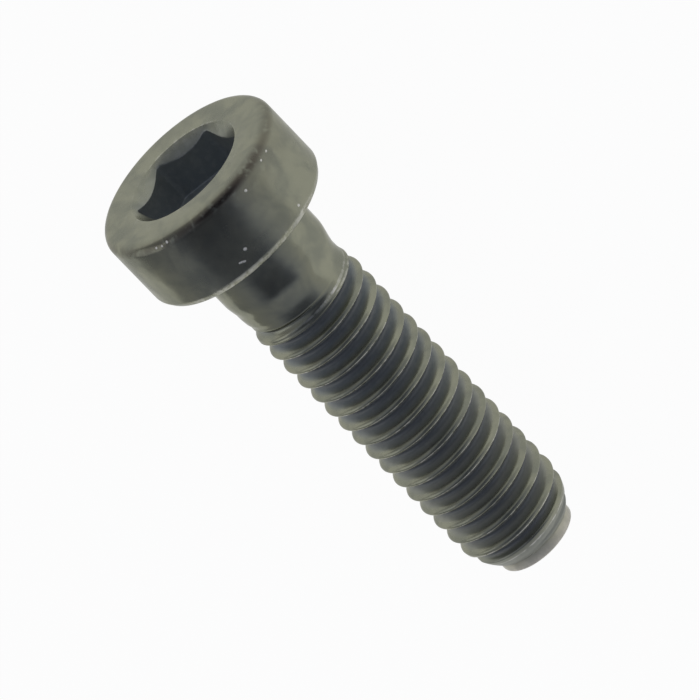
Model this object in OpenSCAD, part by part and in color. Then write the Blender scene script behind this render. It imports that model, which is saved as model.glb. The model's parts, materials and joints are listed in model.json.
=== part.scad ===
// Low-head hexagon socket cap screw, M6 by 22 mm, forged and thread-rolled in one piece.
// Millimetres, +Z up. The screw lies on the ground as it comes to rest: on the rim round its
// bearing face and on the crests where its point begins to taper. So its axis slopes down
// towards the point, in the XZ plane, and +X is the way the point looks. The origin is on
// the ground, under the middle of the screw's box.
// The thread is shown by the plain cylinder over its crests, on which a nut or a clearance
// hole measures it. With thread_form set to cut, its V-shaped groove is cut into that cylinder.

/* [Head] */
// Diameter of the head
head_d = 9.8; // [8.6:0.1:12]
// Height of the head, from its face to the bearing face
head_h = 4; // [3.6:0.1:7]
// Radius of the rounded edge round the head's face
face_edge_r = 0.55; // [0.1:0.05:0.8]
// Radius of the rounded rim round the bearing face
rim_r = 0.35; // [0.1:0.05:0.6]

/* [Socket] */
// Width of the hexagon across its flats
socket_af = 5; // [4:0.1:5.2]
// Depth of the hexagon, from the head's face to the edge of its floor
socket_depth = 2.3; // [1.5:0.1:2.6]
// Diameter of the countersunk mouth, at the head's face
mouth_d = 6.1; // [5.9:0.1:7]
// Included angle of the countersink
mouth_angle = 90; // [60:5:120]
// Included angle of the shallow cone that the punch leaves in the floor
floor_angle = 150; // [130:5:170]
// Width of the flat ledge between that cone and the hexagon's flats
floor_ledge = 0.2; // [0.1:0.05:0.5]
// Turn of the hexagon about the screw's axis
socket_turn = 15; // [0:1:59]

/* [Neck] */
// Length from the bearing face to the end of the point
length = 21.9; // [14:0.1:60]
// Diameter of the plain neck under the head
neck_d = 5.85; // [5.6:0.05:6.2]
// Length of the neck at its full diameter
neck_l = 2.3; // [1:0.1:4]
// Radius of the fillet between the neck and the bearing face
fillet_r = 0.25; // [0.1:0.05:0.5]
// Diameter at the foot of the neck's taper, where the thread starts
taper_d = 5.4; // [5:0.05:5.5]
// Length of the neck's taper
taper_l = 1.5; // [0.8:0.1:2.5]

/* [Thread] */
// The thread: the plain cylinder over its crests, or its groove cut in full
thread_form = "plain"; // [plain, cut]
// Major diameter of the thread, over its crests
thread_d = 5.85; // [5.7:0.01:6]
// Pitch of the thread, which is right-handed
pitch = 1; // [0.75:0.05:1.25]
// Width of the flat along the crests
crest_w = 0.1; // [0.06:0.01:0.2]
// Width of the rounding at the groove's root
root_w = 0.28; // [0.2:0.01:0.32]
// Height of that rounding
root_h = 0.08; // [0.04:0.01:0.1]
// Length over which the crests rise from the taper's foot to their full height
runout_l = 1.1; // [0.2:0.1:1.5]
// Length over which the groove deepens, from the foot of the taper on
runin_l = 1.2; // [0.8:0.1:2.5]
// Turn of the thread about the screw's axis
thread_turn = 128; // [0:1:359]

/* [Point] */
// Length over which the crests round off towards the point
point_l = 2; // [1:0.1:3]
// Diameter over the crests at the end of that rounding
point_d = 4.35; // [4.2:0.05:4.8]
// Diameter of the plain pilot at the very end
pilot_d = 4.1; // [3.4:0.1:4.1]
// Length of the pilot
pilot_l = 0.6; // [0.3:0.1:2]
// Radius of the pilot's end edge
pilot_edge_r = 0.1; // [0.05:0.05:0.25]

/* [Hidden] */
$fn = 96;
// Segments in each rounded stretch of the outline
arc_steps = 8;
// How far the cutters run past the surfaces that they open
overcut = 0.1;
// Steps in each turn of the groove
turn_steps = 30;
// Angle of the thread's flanks to the plane across the axis
flank_angle = 30;

// Radii, and the stations along the axis, which start at the bearing face and grow
// towards the point. The head's face is at -head_h.
head_r = head_d / 2;
neck_r = neck_d / 2;
taper_r = taper_d / 2;
thread_r = thread_d / 2;
pilot_r = pilot_d / 2;
taper_end = neck_l + taper_l;
thread_start = taper_end + runout_l;
pilot_start = length - pilot_l;
point_start = pilot_start - point_l;

// The point's rounding is an arc that leaves the crests' cylinder tangentially
point_drop = thread_r - point_d / 2;
point_arc_r = (point_l ^ 2 + point_drop ^ 2) / (2 * point_drop);
point_arc_turn = asin(point_l / point_arc_r);

// The groove: its flanks run from the crests down to the root's rounding. It is cut by a
// tube a little taller than the groove is deep, which starts clear of the shank.
flank_h = (pitch - crest_w - root_w) / 2 / tan(flank_angle);
groove_h = flank_h + root_h;
groove_clear = crest_w / 4 / tan(flank_angle);
groove_start = taper_end - pitch / 4;
groove_end = pilot_start + pitch / 2;
groove_steps = ceil((groove_end - groove_start) / pitch * turn_steps);

// The ground touches two arcs of the outline, the rim's and the point's. With the axis
// sloped by rest_slope, both reach equally far down:
// (r1 - r2) * cos(slope) - (z2 - z1) * sin(slope) = difference of the arcs' radii,
// where r and z are the place of each arc's centre.
rest_rise = (head_r - rim_r) - (thread_r - point_arc_r);
rest_run = point_start + rim_r;
rest_slope = acos((point_arc_r - rim_r) / sqrt(rest_rise ^ 2 + rest_run ^ 2)) - atan2(rest_run, rest_rise);

// Height of the bearing face's centre, and the two ends of the sloping screw along X
bearing_z = (head_r - rim_r) * cos(rest_slope) - rim_r * sin(rest_slope) + rim_r;
back_x = -(head_h - face_edge_r) * cos(rest_slope) - (head_r - face_edge_r) * sin(rest_slope) - face_edge_r;
front_x = (length - pilot_edge_r) * cos(rest_slope) + (pilot_r - pilot_edge_r) * sin(rest_slope)
    + pilot_edge_r;
bearing_x = -(back_x + front_x) / 2;

// Points on an arc in the outline's plane, [radius, station], from one angle to another
function arc(centre_r, centre_z, r, from, to) =
    [for (i = [0:arc_steps])
        let (a = from + (to - from) * i / arc_steps)
        [centre_r + r * cos(a), centre_z + r * sin(a)]];

// The neck's taper: a half wave of a cosine, level at both ends
function taper() =
    [for (i = [0:arc_steps])
        let (share = i / arc_steps)
        [taper_r + (neck_r - taper_r) * (1 + cos(180 * share)) / 2, neck_l + taper_l * share]];

// Half of the screw's lengthwise section, from the head's face to the end of the pilot
outline = concat(
    [[0, -head_h]],
    arc(head_r - face_edge_r, face_edge_r - head_h, face_edge_r, -90, 0),
    arc(head_r - rim_r, -rim_r, rim_r, 0, 90),
    arc(neck_r + fillet_r, fillet_r, fillet_r, -90, -180),
    taper(),
    [[thread_r, thread_start]],
    arc(thread_r - point_arc_r, point_start, point_arc_r, 0, point_arc_turn),
    [[pilot_r, pilot_start]],
    arc(pilot_r - pilot_edge_r, length - pilot_edge_r, pilot_edge_r, 0, 90),
    [[0, length]]
);

// The groove's section at its full depth, [offset along the axis, radius]
groove_section = [
    [-(pitch - crest_w) / 2 - groove_clear * tan(flank_angle), thread_r + groove_clear],
    [-root_w / 2, thread_r - flank_h],
    [0, thread_r - groove_h],
    [root_w / 2, thread_r - flank_h],
    [(pitch - crest_w) / 2 + groove_clear * tan(flank_angle), thread_r + groove_clear]
];

// How far the section still stands out from its full depth, at a station. It sinks along
// the curve 3s^2 - 2s^3, from just clear of the crests to nothing.
function lift(station) =
    let (s = min(1, (station - groove_start) / runin_l))
    (groove_h + groove_clear) * (1 - s ^ 2 * (3 - 2 * s));

// The section's points at one step along the helix
function groove_ring(step) =
    let (
        station = groove_start + pitch * step / turn_steps,
        angle = thread_turn + 360 * station / pitch
    )
    [for (p = groove_section)
        let (r = p[1] + lift(station))
        [r * cos(angle), r * sin(angle), station + p[0]]];

// The tube that cuts the groove: a ring of points at each step, joined by triangles
module groove() {
    sides = len(groove_section);
    last = groove_steps * sides;
    polyhedron(
        points = [for (step = [0:groove_steps]) each groove_ring(step)],
        faces = concat(
            [[for (k = [0:sides - 1]) k]],
            [for (step = [0:groove_steps - 1]) for (k = [0:sides - 1])
                let (a = step * sides + k, b = step * sides + (k + 1) % sides)
                each [[a, a + sides, b], [b, a + sides, b + sides]]],
            [[for (k = [0:sides - 1]) last + sides - 1 - k]]
        ),
        convexity = 10
    );
}

// The forged blank, before the socket is struck into its head and the thread is rolled
module blank() {
    rotate_extrude()
        polygon(outline);
}

// The tapered opening that leads the key into the hexagon. It ends inside the hexagon.
module mouth() {
    flare = tan(mouth_angle / 2);
    inner_r = socket_af / 2 - overcut;
    translate([0, 0, -head_h - overcut])
        cylinder(
            r1 = mouth_d / 2 + overcut * flare,
            r2 = inner_r,
            h = overcut + (mouth_d / 2 - inner_r) / flare
        );
}

// The hexagon, and the shallow cone in its floor
module hexagon() {
    floor_z = socket_depth - head_h;
    cone_r = socket_af / 2 - floor_ledge;
    translate([0, 0, -head_h - overcut])
        rotate(socket_turn)
        cylinder(d = socket_af / cos(30), h = overcut + socket_depth, $fn = 6);
    rotate_extrude()
        polygon([
            [0, floor_z - overcut],
            [cone_r, floor_z - overcut],
            [cone_r, floor_z],
            [0, floor_z + cone_r / tan(floor_angle / 2)]
        ]);
}

// The whole screw, laid on the ground
module screw() {
    color("#3c3e39")
    translate([bearing_x, 0, bearing_z])
        rotate([0, 90 + rest_slope, 0])
        difference() {
            blank();
            if (thread_form == "cut") groove();
            mouth();
            hexagon();
        }
}

screw();
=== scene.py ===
# %% [markdown]
# # A black-oxide socket screw, from blank to photograph
# The real screw is one piece of steel wire. A header forges the low head and punches the hexagon
# into it, a pair of dies rolls the thread, and a hot salt bath turns the steel black. This lesson
# makes the same surface as one closed mesh, worked out with numpy, and gives it that finish.
# It starts from the packed solid, which says where the screw lies and how large it is.

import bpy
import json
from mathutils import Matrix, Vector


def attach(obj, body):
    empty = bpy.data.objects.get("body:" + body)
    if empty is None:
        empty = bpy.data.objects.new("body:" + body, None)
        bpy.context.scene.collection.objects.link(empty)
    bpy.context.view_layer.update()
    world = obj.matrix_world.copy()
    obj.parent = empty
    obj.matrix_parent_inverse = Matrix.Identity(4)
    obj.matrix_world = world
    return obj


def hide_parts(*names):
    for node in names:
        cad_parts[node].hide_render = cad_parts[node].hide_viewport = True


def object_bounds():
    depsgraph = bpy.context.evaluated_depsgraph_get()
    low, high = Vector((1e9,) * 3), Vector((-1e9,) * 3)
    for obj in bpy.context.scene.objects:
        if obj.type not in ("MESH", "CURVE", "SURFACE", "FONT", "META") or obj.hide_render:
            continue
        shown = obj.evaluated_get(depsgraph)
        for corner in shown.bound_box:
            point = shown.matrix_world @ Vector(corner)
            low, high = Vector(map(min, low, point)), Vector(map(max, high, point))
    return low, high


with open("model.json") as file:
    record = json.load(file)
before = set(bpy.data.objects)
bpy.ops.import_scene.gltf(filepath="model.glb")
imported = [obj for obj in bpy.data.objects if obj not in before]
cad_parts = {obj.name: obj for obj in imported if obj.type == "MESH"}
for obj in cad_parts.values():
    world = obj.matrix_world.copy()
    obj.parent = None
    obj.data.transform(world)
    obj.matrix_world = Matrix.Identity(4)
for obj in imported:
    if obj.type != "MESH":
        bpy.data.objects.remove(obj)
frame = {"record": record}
solid_box = [list(corner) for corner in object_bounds()]
print("solid box in metres:", [[round(x, 5) for x in corner] for corner in solid_box])

# %% [markdown]
# ## Where the screw lies
# On the ground a cap screw rests on its head's rim and on the last crests, so its axis slopes a
# little. The shape could be modelled level and then turned, but a finished piece keeps its place in
# its mesh. So every point is worked out along three directions that come from the frame's mounts:
# along the axis towards the point, up, and to the near side.

# %% The screw's own directions
import math

import numpy as np

MM = 0.001
mounts = {mount["name"]: mount for mount in frame["record"]["mounts"]}
along = -np.array(mounts["drive"]["axis"], float)
along /= np.linalg.norm(along)
near = np.array([0.0, -1.0, 0.0])
up = np.cross(near, along)
face_centre = np.array(mounts["drive"]["pos_m"], float) / MM
bearing_point = np.array(mounts["bearing_face"]["pos_m"], float) / MM
head_h = round(float((bearing_point - face_centre) @ along), 2)
bearing_centre = face_centre + head_h * along
print("head", head_h, "mm high, axis slopes", round(math.degrees(math.asin(-along[2])), 2), "degrees")


def place(station, radius, turn):
    """A point in metres, at a distance in mm along the axis from the bearing face, and at a radius
    and a turn round the axis: centre + station * along + radius * (cos(turn) * up + sin(turn) * near)."""
    across = np.cos(turn)[..., None] * up + np.sin(turn)[..., None] * near
    return (bearing_centre + station[..., None] * along + radius[..., None] * across) * MM


# %% [markdown]
# ## The blank
# Before its thread is rolled, the shank is a plain pin with a neck under the head and a rounded
# point. Its sizes are the solid's own, in millimetres: what the frame knows is read from it, and
# the rest repeats the solid's values. They could be measured on the solid's mesh, but its facets
# would round them. Only the neck's fuller side belongs to the look alone.

# %% Sizes of the blank
thread_r = mounts["thread"]["dims"]["r_mm"]
neck_r = 2.925
neck_l = 2.3
taper_r = 2.7
taper_end = 3.8
climb_ends = (3.95, 5.1)
fuller = 0.08
fuller_turn = math.radians(60)
fuller_ends = (2.9, 3.5, 3.65, 4.0)
point_start = 19.3
point_r = 2.175
pilot_start = 21.3
point_drop = thread_r - point_r
point_l = pilot_start - point_start
point_arc_r = (point_l ** 2 + point_drop ** 2) / (2 * point_drop)
print("thread radius", thread_r, "mm, arc of the point", round(point_arc_r, 2), "mm")


# %% Soft steps and the radius over the crests
def smooth(low, high, x):
    """0 below low, 1 above high, and 3s^2 - 2s^3 between them."""
    s = np.clip((x - low) / (high - low), 0, 1)
    return s * s * (3 - 2 * s)


def between(ends, x):
    """Rises from the first end to the second, and falls again from the third to the fourth."""
    return smooth(ends[0], ends[1], x) * (1 - smooth(ends[2], ends[3], x))


def on_side(turn, middle):
    """1 at the middle turn, and next to nothing opposite it: exp(3 (cos(turn - middle) - 1))."""
    return np.exp(3 * (np.cos(turn - middle) - 1))


def envelope(station, turn):
    """The radius over the crests: an eased fall down the neck's taper, an eased climb to the thread,
    the thread's cylinder, and an arc that falls away towards the point. The taper is a little
    fuller on one side."""
    neck = taper_r + (neck_r - taper_r) * (1 - smooth(neck_l, taper_end, station))
    neck = neck + fuller * between(fuller_ends, station) * on_side(turn, fuller_turn)
    climb = neck + (thread_r - taper_r) * smooth(*climb_ends, station)
    past = np.clip(station - point_start, 0, point_l)
    return climb - (point_arc_r - np.sqrt(point_arc_r ** 2 - past ** 2))


print("radius at the pilot", round(float(envelope(pilot_start, 0.0)), 3), "mm")

# %% [markdown]
# ## The thread's form
# A metric thread is a 60 degree V with a narrow crest and a round root. It could be cut with a
# Screw modifier, but then each run-out needs patching by hand. Here the radius is a plain function
# of the station and the turn, so the run-out under the head and the fading crests at the point are
# only more factors in the same formula. Near the head the dies haven't filled the crests yet, and
# each of them still shows a fine seam between two lips.

# %% Sizes of the thread
pitch = 1.0
flank_angle = math.radians(30)
flank_slope = math.tan(flank_angle)
crest_half = 0.085
crest_ease = 0.075
root_r = 0.16
crest_station = 0.6644
groove_ends = (3.55, 4.75)
seam_depth = 0.03
seam_half = 0.045
seam_ends = (3.8, 4.1, 4.5, 4.9)
print("a sharp V would be", round(pitch / 2 / flank_slope, 3), "mm deep")


# %% The groove's depth
def groove(from_crest):
    """Depth of the groove at a distance from the crest's middle: flat, then a straight flank at
    30 degrees to the radius, then an arc at the root. The crest's edge is a short parabola."""
    x = np.abs(from_crest)
    v_depth = (pitch / 2 - crest_half) / flank_slope
    straight = (x - crest_half) / flank_slope
    edge = (x - crest_half + crest_ease) ** 2 / (4 * crest_ease * flank_slope)
    arc = v_depth - 2 * root_r + np.sqrt(np.clip(root_r ** 2 - (pitch / 2 - x) ** 2, 0, None))
    depth = np.where(x < crest_half + crest_ease, edge, straight)
    depth = np.where(x < crest_half - crest_ease, 0, depth)
    return np.where(pitch / 2 - x < root_r * math.cos(flank_angle), arc, depth)


print("deepest groove", round(float(groove(np.array(pitch / 2))), 3), "mm")


# %% The threaded surface
def thread(station, turn):
    """Radius, drop below the envelope, and distance from the crest. The radius is the lower of the
    envelope and the grooved cylinder, less the seam in the unfinished crests. The distance is what
    is left of (station - crest_station) / pitch - turn / full turn, taken to -0.5..0.5."""
    turns = (station - crest_station) / pitch - turn / (2 * math.pi)
    from_crest = (turns - np.round(turns)) * pitch
    depth = groove(from_crest) * smooth(*groove_ends, station)
    over = envelope(station, turn)
    seam = seam_depth * np.exp(-(from_crest / seam_half) ** 2) * between(seam_ends, station)
    radius = np.minimum(over, np.maximum(thread_r, over) - depth) - seam
    return radius, over - radius, from_crest


sample = np.linspace(groove_ends[1], point_start, 200)
print("root radius", round(float(thread(sample, 0 * sample)[0].min()), 3), "mm")

# %% [markdown]
# ## The shank as a grid that follows the helix
# A grid of level rings needs very many rings before it draws a clean crest. So the rows climb with
# the helix instead: a row's station grows by one pitch in one turn, and its end meets the start of
# the row one turn further on. Rows that run past either end are held on the last ring, and the
# merge at the end closes them up. The columns start at a corner of the socket's hexagon, since the
# head will share them.

# %% The threaded grid
columns = 216
socket_turn = math.radians(15)
turn = np.linspace(0, 2 * math.pi, columns + 1) + socket_turn
ring_low = 3.5
ring_high = pilot_start
half_rows = np.array([0.03, 0.07, 0.11, 0.155, 0.2, 0.26, 0.33, 0.4, 0.45])
row_offsets = np.concatenate([-half_rows[::-1], [0.0], half_rows, [0.5]])
first_turn = math.floor(ring_low) - 2
last_turn = math.ceil(ring_high) + 1
rows = (np.arange(first_turn, last_turn)[:, None] + row_offsets[None, :]).ravel() * pitch + crest_station
shank_station = np.clip(rows[:, None] + pitch * turn[None, :] / (2 * math.pi), ring_low, ring_high)
shank_turn = np.broadcast_to(turn, shank_station.shape)
shank_radius, shank_drop, from_crest = thread(shank_station, shank_turn)
print("threaded grid", shank_station.shape)


# %% [markdown]
# ## Head, neck and socket as one eased outline
# A lathe would turn everything but the hexagon from one outline. The same works for the hexagon
# when the outline is allowed to change with the turn: its wall stands at the distance of a
# hexagon's side, and the countersink meets it lower at the flats than at the corners. That gives
# the scalloped edge by itself. Each corner of the outline is then eased by an exact arc, as every
# struck edge is.

# %% An outline with eased corners
def eased(corners):
    """Rows of (station, radius) along a chain of corners. A corner is (station, radius, trim, steps).
    With unit vectors towards its neighbours, the arc that leaves the sides at distance trim is
    ((1-s)^2 A + 2s(1-s)w P + s^2 C) / ((1-s)^2 + 2s(1-s)w + s^2), with w the sine of half the angle
    between the sides."""
    points = [np.stack(np.broadcast_arrays(c[0], c[1], 0 * turn)[:2], -1) for c in corners]
    made = [points[0]]
    for before, here, after, (_, _, trim, steps) in zip(points, points[1:], points[2:], corners[1:]):
        if steps == 0:
            made.append(here)
            continue
        back = (before - here) / np.linalg.norm(before - here, axis=-1, keepdims=True)
        on = (after - here) / np.linalg.norm(after - here, axis=-1, keepdims=True)
        weight = np.sqrt((1 - (back * on).sum(-1, keepdims=True)) / 2)
        for s in np.linspace(0, 1, steps + 1):
            bend = 2 * s * (1 - s) * weight
            arc = (1 - s) ** 2 * (here + trim * back) + bend * here + s ** 2 * (here + trim * on)
            made.append(arc / ((1 - s) ** 2 + bend + s ** 2))
    made.append(points[-1])
    grid = np.array(made)
    return grid[..., 0], grid[..., 1]


square_corner = [(0.0, 0.0, 0, 0), (0.0, 1.0, 0.2, 2), (1.0, 1.0, 0, 0)]
print("middle of a square corner, eased by 0.2:", [round(float(v[2, 0]), 3) for v in eased(square_corner)])

# %% Sizes of the head and its socket
head_r = (solid_box[1][1] - solid_box[0][1]) / 2 / MM
face_edge_r = 0.55
rim_across = 0.19
rim_along = 0.32
fillet_r = 0.25
socket_af = 5.0
socket_depth = 2.3
corner_cut = 0.06
mouth_r = 3.05
mouth_flare = 1.0
floor_ledge = 0.2
floor_cone = math.tan(math.radians(15))
print("head radius", round(head_r, 3), "mm, socket", socket_af, "mm across its flats")

# %% The hexagon at every turn
side_angle = np.mod(turn - socket_turn, math.pi / 3) - math.pi / 6
corner_r = socket_af / 2 / math.cos(math.pi / 6)
hexagon_r = np.minimum(socket_af / 2 / np.cos(side_angle), corner_r - corner_cut)
face = -head_h
socket_floor = face + socket_depth
ledge_r = socket_af / 2 - floor_ledge
scallop = face + (mouth_r - hexagon_r) / mouth_flare
print("scalloped edge from", round(scallop.min() - face, 3), "to", round(scallop.max() - face, 3), "mm deep")

# %% The head's outline, from the threaded grid to the middle of the socket's floor
taper_rows = [(s, thread(s + 0 * turn, turn)[0], 0, 0) for s in np.linspace(ring_low, neck_l, 11)]
head_corners = taper_rows + [
    (0.0, neck_r, fillet_r, 5),
    (0.0, head_r - rim_across, 0.06, 3),
    (-rim_along, head_r, 0.08, 4),
    (face / 2, head_r, 0, 0),
    (face, head_r, face_edge_r, 10),
    (face, mouth_r, 0.05, 3),
    (scallop, hexagon_r, 0.05, 3),
    (socket_floor, hexagon_r, 0.08, 3),
    (socket_floor, ledge_r, 0.05, 2),
    (socket_floor + ledge_r * floor_cone, 0.0, 0, 0),
]
head_station, head_radius = eased(head_corners)
head_turn = np.broadcast_to(turn, head_station.shape)
print("head grid", head_station.shape)

# %% [markdown]
# ## The pilot
# The dies leave a short plain pin past the point, where the wire was sheared off. It could be a
# cylinder joined on with a Boolean, but that leaves long thin faces at the joint. A second outline
# with the same columns meets the thread's last ring point for point.

# %% The pilot's outline, from the middle of its end to the threaded grid
length = 21.9
pilot_r = 2.05
pilot_corners = [
    (length, 0.0, 0, 0),
    (length, pilot_r, 0.1, 4),
    (pilot_start, pilot_r, 0.03, 2),
    (pilot_start, point_r, 0, 0),
]
pilot_station, pilot_radius = eased(pilot_corners)
pilot_turn = np.broadcast_to(turn, pilot_station.shape)
print("pilot grid", pilot_station.shape)

# %% [markdown]
# ## Where the oxide is worn, thick or missing, and where shade is painted
# Handling rubs the oxide thin on whatever stands proud: the crests, mostly on the side towards the
# point, the lips of the first crests, the rim and the struck edges. In the grooves and down the
# socket it stays thick and dull, palest on the flank that faces the point. The root of the groove is
# painted darker still, as shade deep in the V over its thick oxide.
# The drawn wire of the neck is smoother than the forged head, and the sheared end of the pilot is
# pale. Masks painted by hand wouldn't follow the helix, so each point of the grids gets its numbers
# from the same formulas as its place. The material breaks them up with noise, as no real wear ends
# in a clean line.

# %% The shank's worn crests and lips
line_at, line_half, line_wear = 0.075, 0.055, 1.1
sides_at, sides_ends, sides_wear = 0.1, (0.03, 0.16), 0.2
lip_at, lip_half, lip_wear = 0.11, 0.06, 2.0
lip_ends = (4.1, 4.25, 4.55, 4.6)
lip_turn = math.radians(-65)
full_crest_ends = (4.75, 5.2)
worn_drop = 0.3
crest_line = 1 - smooth(0.0, line_half, np.abs(from_crest - line_at))
crest_sides = 1 - smooth(*sides_ends, np.abs(from_crest - sides_at))
lips = np.exp(-((np.abs(from_crest) - lip_at) / lip_half) ** 2) * between(lip_ends, shank_station)
lips = lips * on_side(shank_turn, lip_turn)
full_crest = smooth(*full_crest_ends, shank_station)
shank_wear = lip_wear * lips + (line_wear * crest_line + sides_wear * crest_sides) * full_crest
shank_wear *= shank_drop < worn_drop
print("worn share of the shank", round(float(shank_wear.mean()), 3))

# %% The shank's grooves and its drawn neck
far_drop = (0.05, 0.25)
near_drop = (0.12, 0.45)
far_flank_ends = (0.08, 0.18, 0.36, 0.46)
# Where the root gets painted shade, at the bottom of the groove.
root_shade_ends = (0.38, 0.47, 0.56, 0.68)
point_oxide = 0.5
point_oxide_ends = (20.2, 20.8)
drawn_ends = (3.5, 4.0)
past_crest = np.mod(from_crest, pitch)
faces_point = past_crest < pitch / 2
in_groove = np.where(faces_point, smooth(*far_drop, shank_drop), smooth(*near_drop, shank_drop))
shank_groove = np.maximum(in_groove, point_oxide * smooth(*point_oxide_ends, shank_station))
shank_far_flank = shank_groove * between(far_flank_ends, past_crest)
# Painted shade in the root, over the thick oxide.
shank_root_shade = shank_groove * between(root_shade_ends, past_crest)
shank_drawn = 1 - smooth(*drawn_ends, shank_station)
print("thick share of the shank", round(float(shank_groove.mean()), 3))


# %% The head's worn edges
def beside(at_station, at_radius, reach):
    """1 on a corner of the head's outline, falling off as exp(-(distance / reach)^2)."""
    square = (head_station - at_station) ** 2 + (head_radius - at_radius) ** 2
    return np.exp(-square / reach ** 2)


rim_wear, rim_reach = 0.95, 0.2
struck_wear, scallop_reach, mouth_reach = 0.5, 0.05, 0.06
head_wear = rim_wear * beside(-0.5 * rim_along, head_r - 0.5 * rim_across, rim_reach)
struck = struck_wear * beside(scallop, hexagon_r, scallop_reach)
head_wear += struck + struck_wear * beside(face, mouth_r, mouth_reach)
print("worn share of the head", round(float(head_wear.mean()), 3))

# %% The head's thick oxide, and painted shade on its face edge
socket_top = -1.0
mouth_margin = 0.02
mouth_oxide, wall_oxide = 0.25, 0.75
wall_ends = (-0.05, 0.15)
edge_shade_turn = math.radians(-33)
edge_shade_reach = 0.3
edge_shade_all_round = 0.35
in_socket = (head_station < socket_top) & (head_radius < mouth_r - mouth_margin)
down_mouth = np.clip((mouth_r - head_radius) / (mouth_r - hexagon_r), 0, 1)
down_wall = smooth(*wall_ends, head_station - scallop)
head_groove = in_socket * (mouth_oxide * down_mouth + wall_oxide * down_wall)
# Painted shade: a dark brown band on the rounded face edge, strongest on the side that faces the lens and
# weaker all round.
head_edge_shade = beside(face + 0.4 * face_edge_r, head_r - 0.1 * face_edge_r, edge_shade_reach)
head_edge_shade = head_edge_shade * (edge_shade_all_round + (1 - edge_shade_all_round) * on_side(head_turn, edge_shade_turn))
print("stained share of the head", round(float(head_edge_shade.mean()), 3))

# %% Seven numbers for every point of the three grids
head_drawn_ends = (0.3, 0.8)
bare_reach = 0.1
head_drawn = smooth(*head_drawn_ends, head_station)
pilot_bare = smooth(pilot_start, pilot_start + bare_reach, pilot_station)
marks = {
    "wear": (shank_wear, head_wear, 0),
    "groove": (shank_groove, head_groove, 0),
    "far_flank": (shank_far_flank, 0, 0),
    # The root's number carries painted shade.
    "root": (shank_root_shade, 0, 0),
    # The face edge's number carries painted shade.
    "stain": (0, head_edge_shade, 0),
    "drawn": (shank_drawn, head_drawn, 0),
    "bare": (0, 0, pilot_bare),
}
print("numbers at each point:", ", ".join(marks))

# %% [markdown]
# ## From grids to one closed mesh
# Each grid becomes quads between neighbouring rows and columns. They could be added one by one, but
# that is slow, so the corner numbers of all of them are one array. The three grids share their end
# rings, and every grid shares its first and last column, so one merge of doubles closes the lot:
# the seams, the poles and the clipped rows. What is left must have two faces at every edge.

# %% Make the mesh
import bmesh
import bpy


def quads(shape, first):
    """Corner numbers of the quads of a grid: (i, j), (i, j+1), (i+1, j+1), (i+1, j)."""
    index = np.arange(shape[0] * shape[1]).reshape(shape) + first
    return np.stack([index[:-1, :-1], index[:-1, 1:], index[1:, 1:], index[1:, :-1]], -1).reshape(-1, 4)


grids = [
    (shank_station, shank_radius, shank_turn),
    (head_station, head_radius, head_turn),
    (pilot_station, pilot_radius, pilot_turn),
]
points = np.concatenate([place(*grid).reshape(-1, 3) for grid in grids])
starts = np.cumsum([0] + [grid[0].size for grid in grids[:-1]])
faces = np.concatenate([quads(grid[0].shape, start) for grid, start in zip(grids, starts)])
mesh = bpy.data.meshes.new("cap_screw")
mesh.from_pydata(points.tolist(), [], faces.tolist())
print("points", len(points), "quads", len(faces))

# %% Give each point its numbers
for name, values in marks.items():
    spread = [np.broadcast_to(value, grid[0].shape).ravel() for value, grid in zip(values, grids)]
    data = mesh.attributes.new(name, "FLOAT", "POINT").data
    data.foreach_set("value", np.concatenate(spread).astype(np.float32))
print("each of", len(points), "points has", len(marks), "numbers")

# %% Close it and hand it over
merge_distance = 2e-7
work = bmesh.new()
work.from_mesh(mesh)
bmesh.ops.remove_doubles(work, verts=work.verts, dist=merge_distance)
bmesh.ops.recalc_face_normals(work, faces=work.faces)
open_edges = sum(1 for edge in work.edges if len(edge.link_faces) != 2)
print("volume", round(work.calc_volume(signed=True) / MM ** 3, 1), "mm3, open edges", open_edges)
work.to_mesh(mesh)
work.free()
mesh.polygons.foreach_set("use_smooth", np.ones(len(mesh.polygons), bool))
screw = bpy.data.objects.new("cap_screw", mesh)
bpy.context.scene.collection.objects.link(screw)
mesh.calc_loop_triangles()
print("triangles", len(mesh.loop_triangles))

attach(screw, "root")
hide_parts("screw")


# %% [markdown]
# ## Shader maths as formulas
# A finish is easier to read as a formula than as a web of nodes. One small class stands for an
# output socket: sums and products of such sockets add their Math nodes. Colours and vectors have
# nodes of their own, because a Math node would turn a colour grey.

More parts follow.
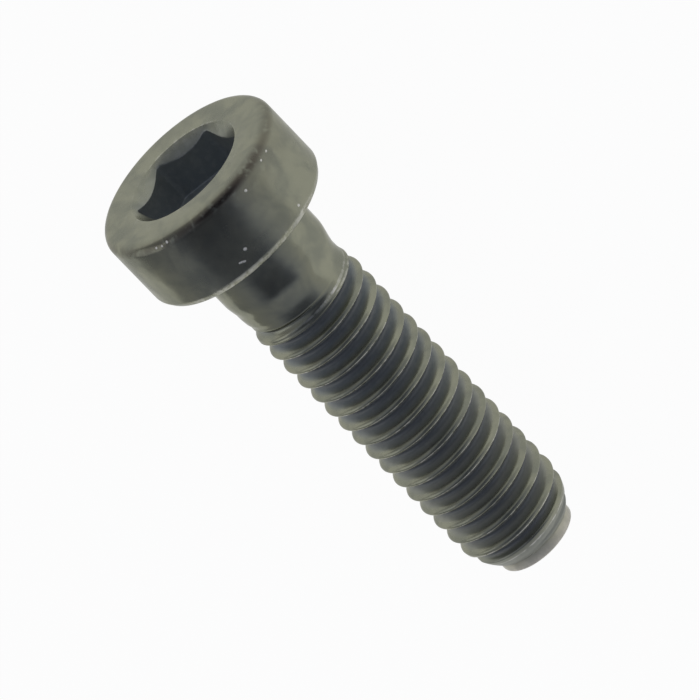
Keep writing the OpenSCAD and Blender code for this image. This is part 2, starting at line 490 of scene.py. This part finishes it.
# %% A socket that can be reckoned with
class Wire:
    """An output socket in a node tree. Arithmetic on it adds Math nodes."""

    def __init__(self, tree, socket):
        self.tree = tree
        self.socket = socket

    @classmethod
    def node(cls, tree, kind, settings=None, sockets=None, output=0):
        """Adds a node: its settings first, then the values or links of its sockets."""
        made = tree.nodes.new(kind)
        for name, value in (settings or {}).items():
            if name == "stops":
                cls.set_stops(made.color_ramp, value)
            else:
                setattr(made, name, value)
        for name, value in (sockets or {}).items():
            if isinstance(value, Wire):
                tree.links.new(value.socket, made.inputs[name])
            else:
                made.inputs[name].default_value = value
        return cls(tree, made.outputs[output] if made.outputs else None)

    @staticmethod
    def set_stops(ramp, stops):
        """Gives a colour ramp its (position, colour) stops."""
        while len(ramp.elements) < len(stops):
            ramp.elements.new(0.5)
        for element, (position, colour) in zip(ramp.elements, stops):
            element.position = position
            element.color = colour

    def maths(self, operation, *values):
        """A Math node on this socket and the given values."""
        settings = {"operation": operation}
        return Wire.node(self.tree, "ShaderNodeMath", settings, dict(enumerate((self, *values))))

    def __add__(self, other):
        return self.maths("ADD", other)

    def __radd__(self, other):
        return self.maths("ADD", other)

    def __mul__(self, other):
        return self.maths("MULTIPLY", other)

    def __rmul__(self, other):
        return self.maths("MULTIPLY", other)

    def __sub__(self, other):
        return self.maths("SUBTRACT", other)

    def __rsub__(self, other):
        return (self * -1).maths("ADD", other)

    def either(self, other):
        """The larger of two numbers."""
        return self.maths("MAXIMUM", other)

    def step(self, low, high):
        """0 below low, 1 above high, and a smooth rise between them."""
        settings = {"interpolation_type": "SMOOTHSTEP"}
        sockets = {"Value": self, "From Min": low, "From Max": high}
        return Wire.node(self.tree, "ShaderNodeMapRange", settings, sockets)

    def between(self, first, second):
        """The first colour where this share is 0, the second where it is 1."""
        settings = {"data_type": "RGBA"}
        return Wire.node(self.tree, "ShaderNodeMix", settings, {0: self, 6: first, 7: second}, 2)


def fresh_tree(owner):
    """The empty node tree of a material or a world."""
    owner.use_nodes = True
    owner.node_tree.nodes.clear()
    return owner.node_tree


print("operators: +, -, * and", ", ".join(name for name in vars(Wire) if not name.startswith("_")))

# %% [markdown]
# ## The black oxide
# Hot black oxide is magnetite, a micron thick. It is opaque and mirrors about a quarter of the
# light, with a faint olive cast, so it is set as a nearly full metal with a dark colour. An image
# could carry the stains, but noise in real millimetres stays sharp from any side. The salts leave
# a cloudy film, so colour and roughness drift over a millimetre or two, and long shallow waves
# bend the reflections, as on any forged part.

# %% Patterns in millimetres
oxide = bpy.data.materials.new("black_oxide")
tree = fresh_tree(oxide)
object_place = Wire.node(tree, "ShaderNodeTexCoord", output="Object")
in_mm = {"operation": "SCALE"}
place_mm = Wire.node(tree, "ShaderNodeVectorMath", in_mm, {0: object_place, "Scale": 1 / MM})


def noise(scale, detail, roughness, distortion=0.0):
    """Noise with so many waves in a millimetre."""
    sockets = {"Vector": place_mm, "Scale": scale, "Detail": detail, "Roughness": roughness}
    return Wire.node(tree, "ShaderNodeTexNoise", None, {**sockets, "Distortion": distortion})


def mark(name):
    """One of the numbers that each point of the mesh carries."""
    return Wire.node(tree, "ShaderNodeAttribute", {"attribute_name": name}, output="Fac")


waves = noise(0.42, 1.5, 0.4)
clouds = noise(0.7, 3, 0.55, 0.4)
stretches = noise(0.8, 2, 0.5)
ripples = noise(0.95, 1.0, 0.4)
patches = noise(2.2, 4, 0.6)
scuffs = noise(2.6, 5, 0.65)
grain = noise(11.0, 3, 0.6)
wear, deep, far_flank, root, stain, drawn, bare = [mark(name) for name in marks]
print("nodes for place, patterns and marks:", len(tree.nodes))

# %% [markdown]
# ## Nicks
# A screw that has lain loose among others carries a few pale nicks, where a corner struck through
# the oxide. Scattering them by noise would put them anywhere, so they are listed one by one, by
# station and turn. Each is a small ball with a ragged edge whose middle lies on the head's side.

# %% Nicks on the head's side, as (station in mm, turn in degrees, radius in mm)
nicks = [
    (-1.23, -25, 0.09),
    (-0.87, -17.6, 0.05),
    (-0.84, -18.6, 0.06),
    (-0.81, -19.6, 0.06),
    (-0.78, -20.6, 0.05),
    (-0.59, -63.5, 0.07),
    (-3.42, -73, 0.06),
    (-3.43, -66, 0.06),
    (-3.20, -47, 0.07),
    (-3.75, 5, 0.07),
    (-3.70, 9, 0.05),
    (-3.72, 13, 0.06),
]
nick_ragged = 0.1
nick_core = 0.6
nick_edge = 1.2


def nick(station, turn_degrees, size):
    """1 inside a nick. Its middle follows the side and then the rounded edge, whose radius is
    head_r - face_edge_r + sqrt(face_edge_r^2 - past^2)."""
    past = max(0.0, face + face_edge_r - station)
    radius = head_r - face_edge_r + math.sqrt(face_edge_r ** 2 - past ** 2)
    middle = place(np.array(station), np.array(radius), np.array(math.radians(turn_degrees))) / MM
    sockets = {0: place_mm, 1: tuple(middle)}
    away = Wire.node(tree, "ShaderNodeVectorMath", {"operation": "DISTANCE"}, sockets, "Value")
    return 1 - (away + nick_ragged * (grain - 0.5)).step(nick_core * size, nick_edge * size)


nicked = nick(*nicks[0])
for numbers in nicks[1:]:
    nicked = nicked.either(nick(*numbers))
print("nicks", len(nicks))

# %% [markdown]
# ## Colour, roughness and relief
# The layers follow the order in which the real ones came, with painted shade laid in among them.
# First the film with its clouds, then the thick oxide in the grooves, which is bluer near the head
# and paler near the point, with its pale dust, its lighter flank and painted shade in its root. Then
# comes a dark brown band of painted shade on the head's face edge, and last what handling did:
# rubbed crests, a sheared end and nicks. Thick oxide is powdery, so its metal share falls and a
# little plain dull light comes in. One flat colour would be simpler, but the clouds in the film are
# what tells black oxide from paint. Seen edge-on, bare metal would turn into a full mirror. Oxide
# doesn't, and a specular tint below 1 holds it back.

# %% Colours of the oxide, the steel and the painted shade, as linear red, green and blue
film_clear = (0.275, 0.279, 0.211, 1)
film_cloudy = (0.208, 0.216, 0.173, 1)
thick_by_head = (0.220, 0.248, 0.262, 1)
thick_by_point = (0.340, 0.349, 0.310, 1)
dust = (0.44, 0.45, 0.41, 1)
far_flank_grey = (0.280, 0.290, 0.270, 1)
# Painted shade for the root of the groove.
root_painted_shade = (0.165, 0.176, 0.177, 1)
# Painted shade for the head's face edge.
brown_painted_shade = (0.050, 0.035, 0.028, 1)
rubbed_steel = (0.85, 0.84, 0.78, 1)
sheared_steel = (0.92, 0.87, 0.70, 1)
edge_on = (0.72, 0.72, 0.68, 1)
print("green of the film", film_clear[1], "to", film_cloudy[1], "and of rubbed steel", rubbed_steel[1])

# %% The oxide's layers
dust_share = 0.2
edge_shade_share = 0.9
rubbed_share = 0.8
film = clouds.step(0.35, 0.65).between(film_clear, film_cloudy)
from_middle = Wire.node(tree, "ShaderNodeSeparateXYZ", None, {0: place_mm}, "X")
to_point = (from_middle + 4 * (clouds - 0.5)).step(-1, 9)
thick = to_point.between(thick_by_head, thick_by_point)
worn = (wear * scuffs.step(0.3, 0.65)).step(0.05, 1.0) * (0.25 + 0.75 * stretches.step(0.4, 0.6))
colour = deep.between(film, thick)
colour = (deep * scuffs.step(0.45, 0.62) * dust_share).between(colour, dust)
colour = far_flank.between(colour, far_flank_grey)
# Painted shade: the root is darkened, as shade deep in the V.
colour = root.between(colour, root_painted_shade)
# Painted shade: the brown band on the face edge, broken up by patches.
colour = (stain * patches.step(0.28, 0.52) * edge_shade_share).between(colour, brown_painted_shade)
colour = (worn * rubbed_share).between(colour, rubbed_steel)
colour = (bare * (0.75 + 0.25 * patches.step(0.35, 0.6))).between(colour, sheared_steel)
colour = nicked.between(colour, rubbed_steel)
print("colour layers done, nodes so far:", len(tree.nodes))

# %% The oxide's surface
film_rough = 0.25
film_metal = 0.9
wave_mm = 0.038
ripple_mm = 0.019
drawn_ripple_mm = 0.010
patch_mm = 0.002
grain_mm = 0.0006
rough = film_rough + 0.10 * (clouds - 0.5) + 0.12 * (patches - 0.5) - 0.08 * drawn
rough = rough + 0.25 * deep + 0.25 * worn + 0.20 * bare + 0.45 * nicked
metal = film_metal - 0.45 * deep - 0.75 * bare
height_mm = wave_mm * waves + (ripple_mm + drawn_ripple_mm * drawn) * ripples
height_mm = height_mm + patch_mm * patches + grain_mm * grain
relief = Wire.node(tree, "ShaderNodeBump", None, {"Strength": 1.0, "Distance": MM, "Height": height_mm})
layers = {"Base Color": colour, "Roughness": rough, "Metallic": metal, "Normal": relief}
layers["Specular Tint"] = edge_on
surface = Wire.node(tree, "ShaderNodeBsdfPrincipled", None, layers)
Wire.node(tree, "ShaderNodeOutputMaterial", None, {"Surface": surface})
mesh.materials.append(oxide)
print("nodes in the oxide:", len(tree.nodes))

# %% [markdown]
# ## Floor
# The screw lies on a white sheet. A lamp bright enough to whiten the sheet would burn out the
# steel, so the sheet helps itself through Light Path: to the lens, and to the screw's own
# reflections, it is mostly a glow of strength 1. What is left over is plain dull paper, and it
# keeps the screw's shadow.

# %% The sheet
sheet_half = 1.0
corners = [(x * sheet_half, y * sheet_half, 0) for x, y in ((-1, -1), (1, -1), (1, 1), (-1, 1))]
sheet_mesh = bpy.data.meshes.new("sheet")
sheet_mesh.from_pydata(corners, [], [(0, 1, 2, 3)])
sheet = bpy.data.objects.new("sheet", sheet_mesh)
bpy.context.scene.collection.objects.link(sheet)
print("sheet", 2 * sheet_half, "m wide")

# %% Its white paper
paper_white = (0.92, 0.92, 0.92, 1)
seen_share = 0.965
mirrored_share = 0.88
paper = bpy.data.materials.new("paper")
tree = fresh_tree(paper)
seen = Wire.node(tree, "ShaderNodeLightPath", output="Is Camera Ray")
mirrored = Wire.node(tree, "ShaderNodeLightPath", output="Is Glossy Ray")
through = Wire.node(tree, "ShaderNodeLightPath", output="Is Transmission Ray")
dull = Wire.node(tree, "ShaderNodeBsdfDiffuse", None, {"Color": paper_white})
glow = Wire.node(tree, "ShaderNodeEmission", None, {"Strength": 1.0})
share = seen_share * seen + mirrored_share * mirrored + mirrored_share * through
mixed = Wire.node(tree, "ShaderNodeMixShader", None, {0: share, 1: dull, 2: glow})
Wire.node(tree, "ShaderNodeOutputMaterial", None, {"Surface": mixed})
sheet_mesh.materials.append(paper)
print("nodes in the paper:", len(tree.nodes))

# %% [markdown]
# ## Tent and flags
# Dark shiny steel shows little but what stands round it, so the world is the set: a pale tent, a
# touch bluer overhead and brighter towards +Y, with two dark flags of slightly blue card. The flag
# above draws the long dark core down the head, the neck and the thread. The other is the dark round
# the lens. Real flags are cards on stands. Here each is a direction, and the tent darkens as a
# direction nears it, which costs nothing and casts no second shadow.

# %% A direction of the world and how near it is
studio = bpy.data.worlds.new("studio")
bpy.context.scene.world = studio
tree = fresh_tree(studio)
direction = Wire.node(tree, "ShaderNodeTexCoord", output="Generated")


def toward(where):
    """Cosine of the angle between a direction of the world and a fixed one."""
    settings = {"operation": "DOT_PRODUCT"}
    return Wire.node(tree, "ShaderNodeVectorMath", settings, {0: direction, 1: where}, "Value")


def flag(where, edge_degrees, core_degrees):
    """1 within the core angle of a direction, 0 beyond the edge angle."""
    return toward(where).step(math.cos(math.radians(edge_degrees)), math.cos(math.radians(core_degrees)))


print("world made:", studio.name)

# %% The tent's light
levels = [(0.0, 0.52), (0.3, 0.43), (0.6, 0.38), (1.0, 0.35)]
more_green = 0.06
more_blue = 0.35
far_gain = 0.3
flag_black = 0.8
flag_blue = (0.345, 0.375, 0.520, 1)
beyond_point = (0.58, 0.78)
stops = [(z, (v, v * (1 + more_green * z), v * (1 + more_blue * z), 1)) for z, v in levels]
tent = Wire.node(tree, "ShaderNodeValToRGB", {"stops": stops}, {0: toward((0.0, 0.0, 1.0))})
flag_above = flag((0.44, 0.14, 0.887), edge_degrees=48, core_degrees=14)
flag_above = flag_above * (1 - toward((1.0, 0.0, 0.0)).step(*beyond_point))
flag_at_lens = flag((-0.47, 0.42, 0.776), edge_degrees=36, core_degrees=14)
flags = flag_above.either(flag_at_lens)
strength = (1 - flag_black * flags) * (1 + far_gain * toward((0.0, 1.0, 0.0)))
light_colour = flags.between(tent, flag_blue)
light = Wire.node(tree, "ShaderNodeBackground", None, {"Color": light_colour, "Strength": strength})
Wire.node(tree, "ShaderNodeOutputWorld", None, {"Surface": light})
print("tent from", levels[-1][1], "overhead to", levels[0][1], "at the horizon")


# %% [markdown]
# ## Lamp
# The tent alone leaves the shadow without a side. One large softbox, low on the left, gives it
# one and puts a mild sheen on the crests there. It is weak, so that it never draws a hard streak.

# %% Softbox
def softbox(name, place_mm, size_mm, brightness):
    """A square area lamp that looks at the screw's middle. Its power is pi * area * brightness."""
    data = bpy.data.lights.new(name, "AREA")
    data.shape = "SQUARE"
    data.size = size_mm * MM
    data.energy = math.pi * data.size ** 2 * brightness
    lamp = bpy.data.objects.new(name, data)
    bpy.context.scene.collection.objects.link(lamp)
    lamp.location = [x * MM for x in place_mm]
    lamp.rotation_euler = lamp.location.to_track_quat("Z", "Y").to_euler()
    print(name, round(data.energy, 3), "W")


softbox("left_box", place_mm=(-70, -300, 160), size_mm=260, brightness=0.6)

# %% [markdown]
# ## Camera
# The photograph was taken with a long lens, looking down on the screw from the head's end. The
# camera could be aimed by hand until the picture fits, but it is quicker to set it from what can be
# measured in such a picture: how many pixels a millimetre takes, where the middle of the bearing
# face falls, how steeply the axis runs across the picture, how far the axis leans from the lens,
# and which side of the screw faces it.

# %% What the photograph gives
photo_px = 700
focal_px = 12435.0
scale_px = 21.907
bearing_px = (238.38, 228.45)
axis_angle = math.radians(46.03)
tilt = math.radians(25.0)
front_turn = math.radians(-30)
distance = focal_px / scale_px
print("the lens is", round(distance), "mm away")

# %% The camera's directions and place
front = math.cos(front_turn) * up + math.sin(front_turn) * near
to_camera = math.cos(tilt) * front - math.sin(tilt) * along
flat_axis = along - (along @ to_camera) * to_camera
flat_axis /= np.linalg.norm(flat_axis)
flat_side = np.cross(to_camera, flat_axis)
right = math.cos(axis_angle) * flat_axis + math.sin(axis_angle) * flat_side
above = -math.sin(axis_angle) * flat_axis + math.cos(axis_angle) * flat_side
offset_right = (bearing_px[0] - photo_px / 2) / scale_px
offset_up = (photo_px / 2 - bearing_px[1]) / scale_px
eye = bearing_centre + distance * to_camera - offset_right * right - offset_up * above
print("camera looks down by", round(math.degrees(math.asin(to_camera[2])), 1), "degrees")

# %% Camera
from mathutils import Matrix

sensor_mm = 36
camera_data = bpy.data.cameras.new("camera")
camera_data.sensor_width = sensor_mm
camera_data.lens = focal_px * sensor_mm / photo_px
camera = bpy.data.objects.new("camera", camera_data)
bpy.context.scene.collection.objects.link(camera)
turned = Matrix([list(right), list(above), list(to_camera)]).transposed().to_4x4()
turned.translation = [float(x) * MM for x in eye]
camera.matrix_world = turned
bpy.context.scene.camera = camera
bpy.context.scene.view_settings.view_transform = "Standard"
print("lens", round(camera_data.lens), "mm on a", sensor_mm, "mm sensor")

# %% [markdown]
# ## Finish

import json
